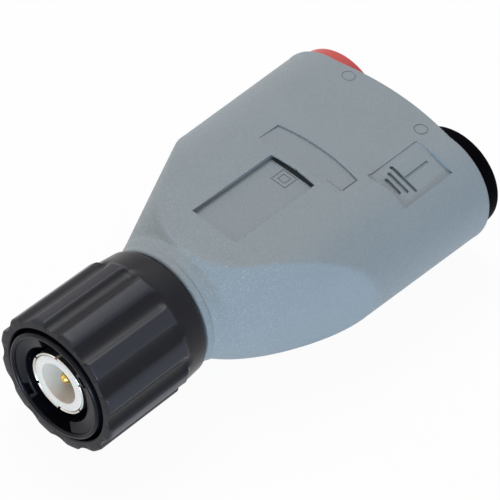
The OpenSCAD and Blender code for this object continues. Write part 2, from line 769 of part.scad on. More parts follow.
// A shrink sleeve over a cup and the wire's first stretch, from y0 to y1
module shrink(x, y0, y1) {
    color([0.15, 0.15, 0.16]) translate([x, 0, 0])
        tube(y0, y1, cup_r + seat_fit + shrink_wall, cup_r + seat_fit);
}
module shrink_tail(x) { shrink(x, tail_cup_y - shrink_lap, tail_cup_y + cup_l - 0.4); }
module shrink_pin() { shrink(0, pin_cup_y - cup_l + 0.4, pin_cup_y + shrink_lap / 2); }
module shrink_red() { shrink_tail(-collar_x); }
module shrink_black() { shrink_tail(collar_x); }

module socket_body_red() { at_socket(-1) socket_body(red); }
module socket_body_black() { at_socket(1) socket_body(black); }
module contact_red() { at_socket(-1) contact(); }
module contact_black() { at_socket(1) contact(); }
module push_ring_red() { at_socket(-1) push_ring(); }
module push_ring_black() { at_socket(1) push_ring(); }

housing_shell();
end_plate();
coupling_sleeve();
bayonet_ring();
plug_body();
outer_contact();
dielectric();
centre_pin();
gasket();
wave_spring();
thrust_washer();
retaining_ring();
rear_insulator();
ground_lug();
lock_nut();
socket_body_red();
socket_body_black();
contact_red();
contact_black();
push_ring_red();
push_ring_black();
wire_red();
wire_black();
shrink_pin();
shrink_red();
shrink_black();
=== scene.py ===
"""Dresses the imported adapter: a bayonet plug, a ribbed coupling, a flared housing and two sockets.

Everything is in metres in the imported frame: +Y runs from the plug to the sockets and +Z is up.
Shapes are written in millimetres and scaled once, when a piece's mesh is finished.
"""
import json
import math

import bmesh
import bpy
from mathutils import Matrix, Vector


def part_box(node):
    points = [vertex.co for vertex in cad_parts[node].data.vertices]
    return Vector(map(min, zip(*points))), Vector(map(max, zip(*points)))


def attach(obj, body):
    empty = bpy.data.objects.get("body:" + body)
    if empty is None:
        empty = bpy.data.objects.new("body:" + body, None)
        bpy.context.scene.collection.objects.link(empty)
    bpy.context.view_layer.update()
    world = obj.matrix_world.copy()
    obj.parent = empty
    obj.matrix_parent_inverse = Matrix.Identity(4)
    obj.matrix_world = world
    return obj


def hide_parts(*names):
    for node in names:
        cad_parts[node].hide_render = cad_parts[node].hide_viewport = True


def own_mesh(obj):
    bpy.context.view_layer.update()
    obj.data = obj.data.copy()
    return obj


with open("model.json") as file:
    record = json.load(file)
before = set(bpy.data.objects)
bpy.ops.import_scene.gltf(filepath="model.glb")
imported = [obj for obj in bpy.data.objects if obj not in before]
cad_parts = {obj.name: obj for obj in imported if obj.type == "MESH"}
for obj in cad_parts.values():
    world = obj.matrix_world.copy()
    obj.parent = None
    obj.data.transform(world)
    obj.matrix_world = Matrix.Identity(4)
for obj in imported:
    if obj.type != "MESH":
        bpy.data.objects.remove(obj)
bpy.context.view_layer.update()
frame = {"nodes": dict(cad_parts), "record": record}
MM = 0.001


# Sizes that several pieces share, in millimetres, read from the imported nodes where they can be
def low(node):
    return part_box(node)[0] / MM


def high(node):
    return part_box(node)[1] / MM


CLEARANCE = 0.02
ROUND_STEPS = 128
NECK_R = 8.0
NECK_BORE_R = 5.03
NECK_SPIGOT_R = 6.4
FLARE_L = 19.4
FLARE_BULGE = -0.07
FLARE_LAG = 1.9
CROWN_HALF_H = 17.1
CROWN_BULGE = 0.77
KNEE_HALF_W = 16.5
REAR_HALF_W = 17.15
REAR_BOW_R = 35.0
REAR_DROP = 1.2
WALL = 1.6
RABBET_WALL = 0.8
COLLAR_SEAT_R = 7.03
SOCKET_X = 9.5
HALF_H = high("housing_shell").z
NOSE_Y = low("housing_shell").y
REAR_Y = high("housing_shell").y
RIB_R = high("coupling_sleeve").x
SLEEVE_FRONT = low("coupling_sleeve").y
SLEEVE_REAR = high("coupling_sleeve").y
NECK_Y = SLEEVE_REAR + 0.5
FLARE_Y = NECK_Y + 1.0
KNEE_Y = FLARE_Y + FLARE_L
BULKHEAD_Y = low("ground_lug").y - CLEARANCE
PLATE_Y = low("end_plate").y - CLEARANCE
SEAT_Y = PLATE_Y + 2.0
COLLAR_END = high("socket_body_black").y


# Camera, at the photograph's viewing angle
def make_camera():
    azimuth, elevation, roll = (math.radians(a) for a in (36.86, 46.42, 7.75))
    distance = 300.3 * MM
    target = Vector((0, 29.8 * MM, 0))
    back = Vector((math.sin(azimuth) * math.cos(elevation),
                   -math.cos(azimuth) * math.cos(elevation),
                   math.sin(elevation)))
    right = Vector((math.cos(azimuth), math.sin(azimuth), 0))
    up = back.cross(right)
    turned_right = right * math.cos(roll) + up * math.sin(roll)
    turned_up = up * math.cos(roll) - right * math.sin(roll)
    data = bpy.data.cameras.new("camera")
    data.sensor_width = 36
    data.lens = 180.3
    data.shift_x = 0.0311
    data.shift_y = 0.0083
    data.clip_start = 0.01
    data.clip_end = 10
    camera = bpy.data.objects.new("camera", data)
    bpy.context.scene.collection.objects.link(camera)
    camera.rotation_mode = "QUATERNION"
    axes = Matrix((turned_right, turned_up, back)).transposed()
    camera.rotation_quaternion = axes.to_quaternion()
    camera.location = target + back * distance
    bpy.context.scene.camera = camera


# Shader maths as Python expressions
class Value:
    """A shader socket; an expression on values adds the Math nodes that work it out."""

    def __init__(self, graph, socket):
        self.graph = graph
        self.socket = socket

    def maths(self, operation, first, second):
        return self.graph.node("ShaderNodeMath", {"operation": operation}, {0: first, 1: second})

    def __add__(self, other):
        return self.maths("ADD", self, other)

    def __radd__(self, other):
        return self.maths("ADD", other, self)

    def __sub__(self, other):
        return self.maths("SUBTRACT", self, other)

    def __rsub__(self, other):
        return self.maths("SUBTRACT", other, self)

    def __mul__(self, other):
        return self.maths("MULTIPLY", self, other)

    def __rmul__(self, other):
        return self.maths("MULTIPLY", other, self)

    def at_most(self, other):
        return self.maths("MINIMUM", self, other)

    def between(self, lowest, highest):
        """0 below the lowest value, 1 above the highest, and a smooth step between the two."""
        values = {"Value": self, "From Min": lowest, "From Max": highest}
        return self.graph.node("ShaderNodeMapRange", {"interpolation_type": "SMOOTHSTEP"}, values)


class Graph:
    """The node tree of a material or of the world."""

    def __init__(self, owner):
        self.owner = owner
        owner.use_nodes = True
        self.tree = owner.node_tree
        self.tree.nodes.clear()

    def node(self, kind, settings=None, values=None, out=0):
        made = self.tree.nodes.new(kind)
        for name, setting in (settings or {}).items():
            setattr(made, name, setting)
        for name, value in (values or {}).items():
            if isinstance(value, Value):
                self.tree.links.new(value.socket, made.inputs[name])
            else:
                made.inputs[name].default_value = value
        return Value(self, made.outputs[out]) if made.outputs else made

    def place(self, cell, stretch=(1, 1, 1)):
        """Object coordinates in cells of a size in metres."""
        spot = self.node("ShaderNodeTexCoord", out="Object")
        scale = tuple(s / cell for s in stretch)
        return self.node("ShaderNodeMapping", None, {"Vector": spot, "Scale": scale})

    def noise(self, cell, detail=3.0, stretch=(1, 1, 1)):
        """Noise whose blobs are about cell metres across."""
        return self.node("ShaderNodeTexNoise", None, {
            "Vector": self.place(cell, stretch), "Scale": 1.0, "Detail": detail, "Roughness": 0.55})

    def cells(self, cell):
        """Distance to the middle of round cells about cell metres across."""
        return self.node("ShaderNodeTexVoronoi", None, {"Vector": self.place(cell), "Scale": 1.0})

    def depth(self):
        """Distance behind the plug's front face, in metres."""
        spot = self.node("ShaderNodeTexCoord", out="Object")
        return self.node("ShaderNodeSeparateXYZ", None, {"Vector": spot}, out="Y")

    def radius(self):
        """Distance from the plug's axis, in metres."""
        flat = self.place(1.0, stretch=(1, 0, 1))
        settings = {"operation": "LENGTH"}
        return self.node("ShaderNodeVectorMath", settings, {"Vector": flat}, out="Value")

    def mix(self, factor, first, second):
        settings = {"data_type": "RGBA"}
        return self.node("ShaderNodeMix", settings, {0: factor, 6: first, 7: second}, out=2)

    def bump(self, height, depth, strength):
        values = {"Height": height, "Distance": depth, "Strength": strength}
        return self.node("ShaderNodeBump", None, values)

    def seen(self):
        """1 for what the camera, metal or glass sees, and 0 for light that falls on the object."""
        camera, mirror, glass = (self.node("ShaderNodeLightPath", out=ray) for ray in (
            "Is Camera Ray", "Is Glossy Ray", "Is Transmission Ray"))
        return (camera + mirror + glass).at_most(1.0)

    def plastic(self, values):
        return self.surface(self.node("ShaderNodeBsdfPrincipled", None, values))

    def surface(self, shader, end="ShaderNodeOutputMaterial"):
        self.node(end, None, {"Surface": shader})
        return self.owner


def material_graph(name):
    return Graph(bpy.data.materials.new(name))


def colour(red, green, blue):
    return (red, green, blue, 1.0)


# Materials
def moulded_grey():
    """Grey plastic with a spark-eroded mould's fine grain and painted highlights: pale specks near
    the neck.
    """
    graph = material_graph("housing_grey")
    coarse = graph.noise(0.3 * MM, 2.0)
    fine = graph.cells(0.15 * MM)
    glint = graph.noise(0.17 * MM, 1.0).between(0.58, 0.66)
    cloud = graph.noise(7 * MM, 3.0)
    fleck = graph.noise(0.5 * MM, 2.0).between(0.42, 0.6)
    flow = graph.mix(cloud, colour(0.24, 0.278, 0.305), colour(0.268, 0.308, 0.336))
    shade = graph.mix(fleck * 0.2, flow, colour(0.3, 0.336, 0.36))
    # Painted highlight: pale specks stand in for glints of light on the grain, thick near the neck
    # and sparse elsewhere
    spark = graph.noise(0.16 * MM, 1.0).between(0.62, 0.7)
    near_neck = 1.0 - graph.depth().between(22 * MM, 32 * MM)
    shade = graph.mix(spark * (near_neck * 0.3 + 0.06), shade, colour(0.6, 0.63, 0.64))
    return graph.plastic({
        "Base Color": shade, "Roughness": 0.5 + coarse * 0.16 - glint * 0.3,
        "Normal": graph.bump(coarse * 0.75 + fine * 0.45, 0.055 * MM, 0.85),
        "Specular IOR Level": 0.3})


def satin_black(name, tone, roughness, grain_depth, gloss, highlight_radii=None):
    """Black plastic, faintly grained and hazed grey, with a painted highlight that greys it between
    two radii.
    """
    graph = material_graph(name)
    grain = graph.noise(0.14 * MM, 2.0)
    cloud = graph.noise(3 * MM, 4.0)
    haze_and_highlight = graph.noise(1.1 * MM, 3.0).between(0.5, 0.75) * 0.08
    if highlight_radii:
        # Painted highlight: between these radii the colour turns grey, standing in for light caught
        # on the rib crests
        haze_and_highlight = haze_and_highlight + graph.radius().between(highlight_radii[0] * MM, highlight_radii[1] * MM)
    dark, pale = colour(tone, tone, tone * 1.5), colour(tone * 1.35, tone * 1.35, tone * 2.1)
    haze_and_highlight_grey = colour(tone * 6.5, tone * 6.6, tone * 8.6)
    return graph.plastic({
        "Base Color": graph.mix(haze_and_highlight.at_most(1.0), graph.mix(cloud, dark, pale), haze_and_highlight_grey),
        "Roughness": roughness - 0.05 + cloud * 0.1,
        "Normal": graph.bump(grain, grain_depth * MM, 0.5), "Specular IOR Level": gloss})


def satin_red():
    graph = material_graph("socket_red")
    cloud = graph.noise(4 * MM, 3.0)
    shade = graph.mix(cloud, colour(0.5, 0.05, 0.045), colour(0.58, 0.07, 0.06))
    return graph.plastic({
        "Base Color": shade, "Roughness": 0.32 + cloud * 0.08,
        "Normal": graph.bump(graph.noise(0.12 * MM), 0.006 * MM, 0.4), "Specular IOR Level": 0.35})


def turned_metal(name, base, roughness):
    """Metal with fine turning lines round the plug's axis and a few dull spots."""
    graph = material_graph(name)
    lines = graph.noise(0.35 * MM, 3.0, stretch=(0.2, 10, 0.2))
    spots = graph.noise(1.2 * MM, 3.0)
    shade = graph.mix(spots, colour(*base), colour(*(c * 0.86 for c in base)))
    return graph.plastic({
        "Base Color": shade, "Metallic": 1.0,
        "Roughness": roughness - 0.04 + lines * 0.1 + spots * 0.04,
        "Normal": graph.bump(lines, 0.004 * MM, 0.5)})


def waxy_white():
    graph = material_graph("insulator_white")
    cloud = graph.noise(2 * MM, 3.0)
    shade = graph.mix(cloud, colour(0.7, 0.65, 0.59), colour(0.74, 0.69, 0.63))
    # Painted shade and painted reflection: deeper in the cavity the white turns darker and warmer,
    # as in shade lit by the gold pin
    painted_cavity_shade = graph.depth().between(0.4 * MM, 6 * MM) * 0.5
    return graph.plastic({
        "Base Color": graph.mix(painted_cavity_shade, shade, colour(0.62, 0.56, 0.42)),
        "Roughness": 0.38 + cloud * 0.1, "Subsurface Weight": 0.35, "Subsurface Scale": 0.8 * MM,
        "Normal": graph.bump(graph.noise(0.2 * MM), 0.005 * MM, 0.4), "Specular IOR Level": 0.35})


def soft_black(name, tone, roughness):
    graph = material_graph(name)
    cloud = graph.noise(0.8 * MM, 4.0)
    shade = graph.mix(cloud, colour(tone, tone, tone), colour(tone * 1.4, tone * 1.4, tone * 1.45))
    return graph.plastic({
        "Base Color": shade, "Roughness": roughness - 0.05 + cloud * 0.12,
        "Normal": graph.bump(cloud, 0.01 * MM, 0.5), "Specular IOR Level": 0.2})


def wire_cover(name, base):
    graph = material_graph(name)
    cloud = graph.noise(0.6 * MM, 3.0)
    shade = graph.mix(cloud, colour(*base), colour(*(c * 1.25 for c in base)))
    return graph.plastic({"Base Color": shade, "Roughness": 0.35 + cloud * 0.1,
                          "Normal": graph.bump(cloud, 0.004 * MM, 0.4), "Specular IOR Level": 0.3})


MATERIALS = {
    "housing_grey": moulded_grey(),
    # The sleeve's rib crests get the painted highlight, which stands in for light caught on them
    "sleeve_black": satin_black("sleeve_black", 0.0045, 0.31, 0.014, 0.19,
                                highlight_radii=(RIB_R - 0.35, RIB_R)),
    "ring_black": satin_black("ring_black", 0.004, 0.28, 0.004, 0.14),
    "nickel": turned_metal("nickel", (0.7, 0.68, 0.64), 0.27),
    "insulator_white": waxy_white(),
    "gold": turned_metal("gold", (0.72, 0.48, 0.14), 0.26),
    "gasket_rubber": soft_black("gasket_rubber", 0.022, 0.7),
    "spring_steel": turned_metal("spring_steel", (0.6, 0.6, 0.61), 0.3),
    "socket_red": satin_red(),
    "socket_black": satin_black("socket_black", 0.002, 0.4, 0.005, 0.005),
    "wire_red": wire_cover("wire_red", (0.45, 0.03, 0.025)),
    "wire_black": wire_cover("wire_black", (0.02, 0.02, 0.022)),
    "shrink_sleeve": soft_black("shrink_sleeve", 0.025, 0.45),
}


# Mesh helpers
def clamped(share):
    return min(1.0, max(0.0, share))


def spread(start, end, steps):
    """Even steps from the start to the end, both included."""
    return [start + (end - start) * i / steps for i in range(steps + 1)]


def arc(centre, radius, start, end, steps):
    """Points (radius from the axis, y) on an arc; angles in degrees, 90 points along +Y."""
    angles = [math.radians(degrees) for degrees in spread(start, end, steps)]
    return [(centre[0] + radius * math.cos(a), centre[1] + radius * math.sin(a)) for a in angles]


def extruded_rings(mesh, rings):
    """Extrudes a circle through rings of points and joins the last one to the first."""
    loop = bmesh.ops.create_circle(mesh, segments=len(rings[0]), radius=1.0)["verts"]
    for vertex, point in zip(loop, rings[0]):
        vertex.co = point
    edges = first_edges = mesh.edges[:]
    for ring in rings[1:]:
        made = bmesh.ops.extrude_edge_only(mesh, edges=edges)["geom"]
        new = {item for item in made if isinstance(item, bmesh.types.BMVert)}
        edges = [item for item in made if isinstance(item, bmesh.types.BMEdge)
                 and all(vertex in new for vertex in item.verts)]
        loop = [next(edge.other_vert(vertex) for edge in vertex.link_edges
                     if edge.other_vert(vertex) in new) for vertex in loop]
        for vertex, point in zip(loop, ring):
            vertex.co = point
    bmesh.ops.bridge_loops(mesh, edges=edges + first_edges)


def spun(mesh, profile, steps, centre_x=0.0):
    """Spins a closed profile of (radius, y) points round an axis along Y."""
    corners = [mesh.verts.new((centre_x + radius, y, 0)) for radius, y in profile]
    edges = [mesh.edges.new(pair) for pair in zip(corners, corners[1:] + corners[:1])]
    bmesh.ops.spin(mesh, geom=corners + edges, cent=(centre_x, 0, 0), axis=(0, 1, 0),
                   angle=2 * math.pi, steps=steps, use_merge=True)
    bmesh.ops.remove_doubles(mesh, verts=mesh.verts, dist=1e-5)


def mesh_object(name, mesh):
    """Turns a mesh in millimetres into an object in metres."""
    bmesh.ops.recalc_face_normals(mesh, faces=mesh.faces)
    bmesh.ops.scale(mesh, vec=(MM,) * 3, verts=mesh.verts)
    data = bpy.data.meshes.new(name)
    mesh.to_mesh(data)
    mesh.free()
    made = bpy.data.objects.new(name, data)
    bpy.context.scene.collection.objects.link(made)
    return made


def shade_smooth(data, sharp_from=35):
    """Shades a mesh smoothly, but for edges that fold by more than an angle in degrees."""
    data.shade_smooth()
    data.set_sharp_from_angle(angle=math.radians(sharp_from))


def finished(name, mesh, slot, body, *nodes):
    """Makes a piece from a mesh in millimetres, and puts it in place of its nodes."""
    piece = mesh_object(name, mesh)
    shade_smooth(piece.data)
    piece.data.materials.append(MATERIALS[slot])
    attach(piece, body)
    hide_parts(*nodes)
    return piece


def cutter(mesh):
    """A solid in millimetres that a Boolean takes away."""
    return mesh_object("cutter", mesh)


def cut_away(piece, tools, sharp_from=35):
    """Takes the tools away from the piece, and keeps only the result."""
    for tool in tools:
        step = piece.modifiers.new("cut", "BOOLEAN")
        step.operation = "DIFFERENCE"
        step.solver = "EXACT"
        step.object = tool
    bpy.context.view_layer.update()
    shape = piece.evaluated_get(bpy.context.evaluated_depsgraph_get())
    data = bpy.data.meshes.new_from_object(shape)
    piece.modifiers.clear()
    old = piece.data
    piece.data = data
    bpy.data.meshes.remove(old)
    for tool in tools:
        bpy.data.meshes.remove(tool.data)
    shade_smooth(data, sharp_from)


def even_shading(piece):
    """Lets large faces set the normals round them, so that flat areas look flat."""
    step = piece.modifiers.new("normals", "WEIGHTED_NORMAL")
    step.keep_sharp = True
    step.weight = 80


# Housing: the flare is an ellipse that grows from the neck, trimmed by a bar with round sides
CREASE_SEARCH = (math.radians(12), math.radians(86))
CREASE_HALVINGS = 24
CREASE_CROWDING = 1.6
CREASE_BLEND = 0.3
KNEE_BLEND = 0.35
KNEE_BLEND_START = 0.7
QUARTER_STEPS = 26
FLARE_RINGS = 64
RINGS_PAST_KNEE = 4
BARREL_RINGS = 28
INNER_RINGS = 24
NECK_ROUND = 0.4
REAR_ROUND = 0.35
REAR_MARGIN = 0.8
GROOVE_L = 1.5
GROOVE_DEPTH = 0.12


def swell(share, bulge):
    return (1 + bulge) * share - bulge * share ** 2


def flare_half_width(y):
    share = max(0.0, (y - FLARE_Y) / FLARE_L)
    return NECK_R + (KNEE_HALF_W - NECK_R) * swell(share, FLARE_BULGE)


def flare_half_height(y):
    share = clamped((y - FLARE_Y - FLARE_LAG) / (FLARE_L - FLARE_LAG))
    return NECK_R + (CROWN_HALF_H - NECK_R) * swell(share, CROWN_BULGE)


def ellipse_radius(angle, y, inset):
    wide, tall = flare_half_width(y) - inset, flare_half_height(y) - inset
    return wide * tall / math.hypot(tall * math.cos(angle), wide * math.sin(angle))


def barrel_half_width(y):
    share = max(0.0, (y - KNEE_Y) / (REAR_Y - KNEE_Y))
    return KNEE_HALF_W + (REAR_HALF_W - KNEE_HALF_W) * share


def bar_reach(angle, half_w, half_h):
    """Distance from the axis to a flat bar with round sides."""
    centre = half_w - half_h
    sine, cosine = math.sin(angle), math.cos(angle)
    if half_h * cosine <= centre * sine:
        return half_h / sine
    return centre * cosine + math.sqrt(half_h ** 2 - (centre * sine) ** 2)


def bar_radius(angle, y, inset):
    return bar_reach(angle, barrel_half_width(y) - inset, HALF_H - inset)


def smooth_min(first, second, blend):
    share = clamped(0.5 + 0.5 * (second - first) / blend)
    return second + (first - second) * share - blend * share * (1 - share)


def crease_angle(y, inset):
    """Angle at which the ellipse and the bar meet, found by halving."""
    low_angle, high_angle = CREASE_SEARCH
    for _ in range(CREASE_HALVINGS):
        middle = (low_angle + high_angle) / 2
        if ellipse_radius(middle, y, inset) > bar_radius(middle, y, inset):
            high_angle = middle
        else:
            low_angle = middle
    return (low_angle + high_angle) / 2


def ring_angles(y, inset):
    """Angles of one ring of the housing, close together at its creases."""
    crease = crease_angle(y, inset)
    shares = [(i / QUARTER_STEPS) ** CREASE_CROWDING for i in range(QUARTER_STEPS + 1)]
    quarter = [crease * (1 - share) for share in shares[:0:-1]]
    quarter += [crease + (math.pi / 2 - crease) * share for share in shares]
    half = quarter + [math.pi - a for a in quarter[-2:0:-1]]
    return half + [a + math.pi for a in half]


def folded(angle):
    """The same angle, folded into the first quarter."""
    return math.acos(min(1.0, abs(math.cos(angle))))


def bowed_rear(x):
    """Y of the rear face: flat at the sockets, with a bulge between them."""
    bow = REAR_BOW_R - math.sqrt(REAR_BOW_R ** 2 - x * x)
    return REAR_Y - min(REAR_DROP, bow)


def housing_ring(y, inset, rear_offset=None):
    """One ring of the housing; with a rear offset it lies that far from the rear face along Y."""
    knee = clamped(((y - FLARE_Y) / FLARE_L - KNEE_BLEND_START) / (1 - KNEE_BLEND_START))
    blend = CREASE_BLEND + (KNEE_BLEND - CREASE_BLEND) * knee ** 2
    points = []
    for angle in ring_angles(y, inset):
        near = folded(angle)
        radius = smooth_min(ellipse_radius(near, y, inset), bar_radius(near, y, inset), blend)
        x, z = radius * math.cos(angle), radius * math.sin(angle)
        points.append((x, y if rear_offset is None else bowed_rear(x) + rear_offset, z))
    return points


def rabbet_ring(y=None):
    """The seat of the end plate: a straight bar, at y or on the rear face."""
    points = []
    for angle in ring_angles(REAR_Y, 0):
        radius = bar_reach(folded(angle), REAR_HALF_W - RABBET_WALL, HALF_H - RABBET_WALL)
        x, z = radius * math.cos(angle), radius * math.sin(angle)
        points.append((x, bowed_rear(x) if y is None else y, z))
    return points


def round_ring(radius, y):
    """A circle with as many points as the housing's other rings."""
    return [Vector((x, 0, z)).normalized() * radius + Vector((0, y, 0))
            for x, _, z in housing_ring(NECK_Y, 0)]


def surface_z(x, y):
    """Height of the barrels' top face at x and y."""
    off = max(0.0, x - barrel_half_width(y) + HALF_H)
    return math.sqrt(HALF_H ** 2 - off ** 2)


def sunk_shape(outline, floor, cuts=()):
    """A cutter over a flat outline of (x, y); floor(x, y) gives the height of its floor."""
    mesh = bmesh.new()
    corners = [mesh.verts.new((x, y, 0)) for x, y in outline]
    mesh.faces.new(corners)
    for x in cuts:
        bmesh.ops.bisect_plane(mesh, geom=mesh.verts[:] + mesh.edges[:] + mesh.faces[:],
                               plane_co=(x, 0, 0), plane_no=(1, 0, 0))
    for vertex in mesh.verts:
        vertex.co.z = floor(vertex.co.x, vertex.co.y)
    for item in bmesh.ops.extrude_face_region(mesh, geom=mesh.faces[:])["geom"]:
        if isinstance(item, bmesh.types.BMVert):
            item.co.z = HALF_H + 1
    return cutter(mesh)


def bowed_outline(half_w, front, rear, bow, steps=12):
    """A rectangle whose rear edge bows out by the given height."""
    bowed = [(half_w * share, rear + bow * (1 - share * share)) for share in spread(1, -1, steps)]
    return [(-half_w, front), (half_w, front)] + bowed


def bar_outline(centre, half_length, half_width, along_y=False):
    """A straight bar with round ends."""
    points = []
    for side in (1, -1):
        for length, width in arc((half_length - half_width, 0), half_width, -90, 90, 6):
            x, y = (-side * width, side * length) if along_y else (side * length, side * width)
            points.append((centre[0] + x, centre[1] + y))
    return points


def box_cutter(low_corner, high_corner, turn=0.0):
    """A box between two corners, turned round the plug's axis by an angle in degrees."""
    mesh = bmesh.new()
    size = Vector(high_corner) - Vector(low_corner)
    matrix = Matrix.Rotation(math.radians(turn), 3, "Y")
    bmesh.ops.create_cube(mesh, size=1)
    bmesh.ops.scale(mesh, vec=size, verts=mesh.verts)
    bmesh.ops.translate(mesh, vec=Vector(low_corner) + size / 2, verts=mesh.verts)
    bmesh.ops.rotate(mesh, cent=(0, 0, 0), matrix=matrix, verts=mesh.verts)
    return cutter(mesh)


def turned_cutter(mesh, place):
    """A cutter that is turned a quarter round X, so that Y becomes Z, and moved to its place."""
    matrix = Matrix.Rotation(math.pi / 2, 3, "X")
    bmesh.ops.rotate(mesh, cent=(0, 0, 0), matrix=matrix, verts=mesh.verts)
    bmesh.ops.translate(mesh, vec=place, verts=mesh.verts)
    return cutter(mesh)


# Marks on the top face
POCKET_HALF_W = 3.45
POCKET_FRONT = FLARE_Y + 7.6
POCKET_REAR = FLARE_Y + 21.4
POCKET_BOW = 0.3
POCKET_FLOOR = HALF_H - 0.7
UNDERCUT_L = 2.4
UNDERCUT_DROP = 0.6
UNDERCUT_ROOF = 0.2


def pocket_cutters():
    """The pocket, and the undercut that its rear lip hangs over."""
    outline = bowed_outline(POCKET_HALF_W, POCKET_FRONT, POCKET_REAR, POCKET_BOW)
    half_w = POCKET_HALF_W - 0.03
    undercut = box_cutter((-half_w, POCKET_REAR - 0.02, POCKET_FLOOR - UNDERCUT_DROP),
                          (half_w, POCKET_REAR + UNDERCUT_L, HALF_H - UNDERCUT_ROOF))
    return [sunk_shape(outline, lambda x, y: POCKET_FLOOR), undercut]


SQUARE_Y = POCKET_REAR - 1.4
SQUARE_HALF_SIDES = (1.1, 0.55)
SQUARE_LINE_HALF_W = 0.09
SQUARE_DEPTH = 0.08


def double_square_cutters():
    """The standard sign for double insulation: two square grooves, one in the other."""
    tools = []
    for half in SQUARE_HALF_SIDES:
        side = (-half - SQUARE_LINE_HALF_W, half + SQUARE_LINE_HALF_W)
        for middle in (-half, half):
            line = (middle - SQUARE_LINE_HALF_W, middle + SQUARE_LINE_HALF_W)
            for xs, ys in ((line, side), (side, line)):
                tools.append(box_cutter((xs[0], SQUARE_Y + ys[0], POCKET_FLOOR - SQUARE_DEPTH),
                                        (xs[1], SQUARE_Y + ys[1], POCKET_FLOOR + 0.1)))
    return tools


ARCH_HALF_W = 6.35
ARCH_FRONT = FLARE_Y + 22.4
ARCH_REAR = FLARE_Y + 25.9
ARCH_BOW = 0.85
ARCH_FRONT_DEPTH = 0.05
ARCH_SLOPE = 0.2 / (ARCH_REAR - ARCH_FRONT)


def arch_cutter():
    """The panel with an arched rear edge, which fades into the face towards the front."""
    outline = bowed_outline(ARCH_HALF_W, ARCH_FRONT, ARCH_REAR, ARCH_BOW, steps=20)
    front_z = HALF_H - ARCH_FRONT_DEPTH
    return sunk_shape(outline, lambda x, y: front_z - ARCH_SLOPE * (y - ARCH_FRONT))


PANEL_LOW = (6.9, FLARE_Y + 27.5)
PANEL_HIGH = (12.83, FLARE_Y + 36.45)
PANEL_DEPTH = 0.14
PANEL_FOLD_X = 8.33
PANEL_SLOPE = 0.285


def panel_floor(x):
    """Height of the panel's floor: level, and then falling away evenly from a fold."""
    return HALF_H - PANEL_DEPTH - PANEL_SLOPE * max(0.0, x - PANEL_FOLD_X)


def panel_cutter():
    (left, front), (right, rear) = PANEL_LOW, PANEL_HIGH
    outline = [(left, front), (right, front), (right, rear), (left, rear)]
    return sunk_shape(outline, lambda x, y: panel_floor(x), cuts=[PANEL_FOLD_X])


SIGN_X = 9.75
SIGN_Y = FLARE_Y + 30.67
SIGN_BAR_HALF_LENGTHS = (2.2, 1.7, 1.27)
SIGN_BAR_STEP = 1.0
SIGN_BAR_HALF_W = 0.28
STEM_PLACE = (SIGN_X + 0.09, SIGN_Y + 2.35)
STEM_HALF_L = 2.2
STEM_HALF_W = 0.19
SIGN_DEPTH = 0.36


def earth_sign_cutters():
    """The standard earth sign: three bars and a stem half as deep, sunk into the panel's floor."""
    shapes = []
    for i, half_l in enumerate(SIGN_BAR_HALF_LENGTHS):
        bar = bar_outline((SIGN_X, SIGN_Y - SIGN_BAR_STEP * i), half_l, SIGN_BAR_HALF_W)
        shapes.append((bar, SIGN_DEPTH))
    stem = bar_outline(STEM_PLACE, STEM_HALF_L, STEM_HALF_W, along_y=True)
    shapes.append((stem, SIGN_DEPTH / 2))
    return [sunk_shape(outline, lambda x, y, sunk=sunk: panel_floor(x) - sunk)
            for outline, sunk in shapes]


def edge_line(start, end, half_w, depth):
    """A thin groove with sloping walls, along an edge of a panel."""
    mesh = bmesh.new()
    along = Vector(end) - Vector(start)
    bmesh.ops.create_cone(mesh, cap_ends=True, segments=4, radius1=1, radius2=1, depth=along.length)
    bmesh.ops.scale(mesh, vec=(half_w, depth, 1), verts=mesh.verts)
    turn = along.to_track_quat("Z", "Y").to_matrix()
    bmesh.ops.rotate(mesh, cent=(0, 0, 0), matrix=turn, verts=mesh.verts)
    bmesh.ops.translate(mesh, vec=(Vector(start) + Vector(end)) / 2, verts=mesh.verts)
    return cutter(mesh)


ARCH_LINE_START_X = 3.9
ARCH_LINE_END_X = 6.42
ARCH_LINE_FRONT = FLARE_Y + 23.2
PANEL_BEND_X = PANEL_FOLD_X + 0.6

# Half width and depth of the lines
POCKET_LINE = (0.17, 0.17)
ARCH_LINE = (0.07, 0.2)
PANEL_SIDE_LINE = (0.1, 0.1)
PANEL_LEVEL_LINE = (0.11, 0.11)
PANEL_SLOPE_LINE = (0.13, 0.13)


def panel_lines():
    """The near edges of the pocket and of the two panels, which stand out as thin lines."""
    (left, front), (right, rear) = PANEL_LOW, PANEL_HIGH
    side_z = surface_z(right, rear)
    pocket_corner = (POCKET_HALF_W, POCKET_FRONT, HALF_H)
    arch_corner = (ARCH_LINE_END_X, ARCH_LINE_FRONT, HALF_H)
    arch_start = (ARCH_LINE_START_X, ARCH_LINE_FRONT, HALF_H + 0.03)
    bend = (PANEL_BEND_X, front, surface_z(PANEL_BEND_X, front))
    corner = (right, front, side_z)
    return [edge_line(pocket_corner, (POCKET_HALF_W, POCKET_REAR, HALF_H), *POCKET_LINE),
            edge_line((-POCKET_HALF_W, POCKET_FRONT, HALF_H), pocket_corner, *POCKET_LINE),
            edge_line(arch_corner, (ARCH_LINE_END_X, ARCH_REAR, HALF_H), *ARCH_LINE),
            edge_line(arch_start, arch_corner, *ARCH_LINE),
            edge_line(corner, (right, rear, side_z), *PANEL_SIDE_LINE),
            edge_line((left, front, HALF_H), bend, *PANEL_LEVEL_LINE),
            edge_line(bend, corner, *PANEL_SLOPE_LINE)]


RING_MARKS = ((6.03, 56.02, 0.12), (-6.23, 56.65, 0.09))
MARK_R = 0.84
MARK_HALF_W = 0.12
MARK_STEPS = 40


def ring_mark(x, y, depth):
    """A round groove with sloping walls."""
    mesh = bmesh.new()
    profile = [(MARK_R - MARK_HALF_W, 0.02), (MARK_R, -depth), (MARK_R + MARK_HALF_W, 0.02),
               (MARK_R, 0.3)]
    spun(mesh, profile, MARK_STEPS)
    return turned_cutter(mesh, (x, y, HALF_H))


